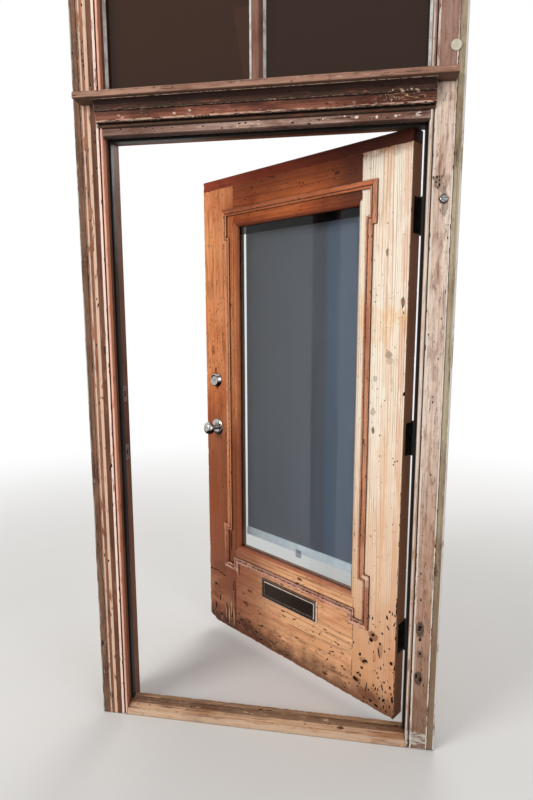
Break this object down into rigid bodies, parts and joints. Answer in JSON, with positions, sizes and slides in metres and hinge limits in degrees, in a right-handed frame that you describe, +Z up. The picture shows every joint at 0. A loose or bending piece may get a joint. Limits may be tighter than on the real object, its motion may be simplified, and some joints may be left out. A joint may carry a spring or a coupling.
{
  "type": "glazed entrance door",
  "caption": "Old stripped-wood entrance door with one tall glass pane, letter plate and roller blind, ajar in its moulded timber frame with a transom bar and an overlight.",
  "frame": {"origin": "middle of the doorway, on the underside of the threshold, in the plane of the casings' front faces", "axes": "+X to the right seen from the street, towards the hinges; +Y into the building; +Z up"},
  "size_m": [1.2268, 0.7871, 2.7],
  "materials": {
    "frame_wood": "worn",
    "post_wood": "worn",
    "sill_wood": "worn",
    "threshold_wood": "worn",
    "leaf_wood": "worn",
    "stile_wood": "worn",
    "moulding_wood": "worn",
    "lipping_wood": "worn",
    "blind_wood": "worn",
    "black_paint": "painted",
    "putty_white": "matt",
    "clear_glass": "polished",
    "dark_glass": "polished",
    "black_iron": "satin",
    "steel": "brushed",
    "chrome": "polished",
    "bronze": "tarnished",
    "cream_plastic": "matt",
    "clear_plastic": "clear",
    "blind_fabric": "woven"
  },
  "bodies": {
    "frame": {"threshold": "threshold_wood", "post_left": "post_wood", "post_right": "post_wood", "casing_left": "frame_wood", "casing_right": "frame_wood", "outer_strip_left": "frame_wood", "outer_strip_right": "frame_wood", "side_stops": "black_paint", "stop_head": "black_paint", "transom_rail": "post_wood", "head_casing": "frame_wood", "bed_moulding": "frame_wood", "transom_sill": "sill_wood", "overlight_head": "post_wood", "overlight_head_casing": "frame_wood", "muntin": "frame_wood", "pane_left": "dark_glass", "pane_right": "dark_glass", "pane_stops": "frame_wood", "putty": "putty_white", "hinges_frame_half": "black_iron", "hinge_screws_frame": "black_iron", "hinge_pins": "black_iron", "strike_plates": "steel", "cover_disc": "cream_plastic", "metal_button": "steel"},
    "leaf": {"hinge_stile": "stile_wood", "lock_stile": "leaf_wood", "top_rail": "leaf_wood", "bottom_rail": "leaf_wood", "top_lipping": "lipping_wood", "glass_pane": "clear_glass", "glazing_beads": "moulding_wood", "moulding_top": "moulding_wood", "moulding_bottom": "moulding_wood", "moulding_hinge_side": "moulding_wood", "moulding_lock_side": "moulding_wood", "hinges_leaf_half": "black_iron", "hinge_screws_leaf": "black_iron", "lock_cases": "steel", "knob_roses": "chrome", "cylinder_guard": "chrome", "thumb_rose": "chrome", "letter_plate_outer": "bronze", "letter_plate_inner": "bronze", "letter_flap_pins": "steel", "letter_sleeve": "steel", "blind_brackets": "steel"},
    "knob": {"knob_outer": "chrome", "knob_inner": "chrome"},
    "latch": {"latch_bolt": "steel"},
    "deadbolt": {"deadbolt_bolt": "steel"},
    "thumbturn": {"thumbturn": "chrome"},
    "key_plug": {"key_plug": "steel"},
    "outer_flap": {"letter_flap_outer": "bronze"},
    "inner_flap": {"letter_flap_inner": "bronze"},
    "blind_hem": {"hem_bar": "blind_wood", "pull_tab": "clear_plastic", "blind_cloth": "blind_fabric"},
    "blind_roller": {"blind_roller": "blind_wood"}
  },
  "joints": [
    {"name": "leaf_swing", "type": "hinge", "parent": "frame", "child": "leaf", "pos_m": [0.5135, 0.1265, 1.06], "axis": [0, 0, -1], "range_deg": [-34.5, 75.5]},
    {"name": "knob_turn", "type": "hinge", "parent": "leaf", "child": "knob", "pos_m": [-0.3102, 0.61496, 1.004], "axis": [-0.5664, -0.8241, 0], "range_deg": [0, 60], "stiffness_Nm_per_rad": 0.25},
    {"name": "latch_slide", "type": "slide", "parent": "leaf", "child": "latch", "axis": [0.8241, -0.5664, 0], "range_m": [0, 0.012]},
    {"name": "deadbolt_slide", "type": "slide", "parent": "leaf", "child": "deadbolt", "axis": [-0.8241, 0.5664, 0], "range_m": [0, 0.025]},
    {"name": "thumbturn_turn", "type": "hinge", "parent": "leaf", "child": "thumbturn", "pos_m": [-0.27792, 0.66193, 1.22], "axis": [0.5664, 0.8241, 0], "range_deg": [0, 90]},
    {"name": "key_plug_turn", "type": "hinge", "parent": "leaf", "child": "key_plug", "pos_m": [-0.3102, 0.61496, 1.22], "axis": [0.5664, 0.8241, 0], "range_deg": [0, 90]},
    {"name": "outer_flap_swing", "type": "hinge", "parent": "leaf", "child": "outer_flap", "pos_m": [0.05208, 0.36172, 0.3505], "axis": [-0.8241, 0.5664, 0], "range_deg": [0, 85]},
    {"name": "inner_flap_swing", "type": "hinge", "parent": "leaf", "child": "inner_flap", "pos_m": [0.08833, 0.41446, 0.3505], "axis": [0.8241, -0.5664, 0], "range_deg": [0, 85]},
    {"name": "blind_raise", "type": "slide", "parent": "leaf", "child": "blind_hem", "axis": [0, 0, 1], "range_m": [0, 1.35], "deforming": ["blind_cloth"]},
    {"name": "blind_roller_turn", "type": "hinge", "parent": "leaf", "child": "blind_roller", "pos_m": [0.10277, 0.43548, 1.945], "axis": [-0.8241, 0.5664, 0], "range_deg": [0, 4278.4]}
  ],
  "couplings": [
    {"joint": "latch_slide", "follows": "knob_turn", "m_per_rad": 0.011459},
    {"joint": "thumbturn_turn", "follows": "deadbolt_slide", "rad_per_m": 62.832},
    {"joint": "blind_roller_turn", "follows": "blind_raise", "rad_per_m": 55.249}
  ]
}
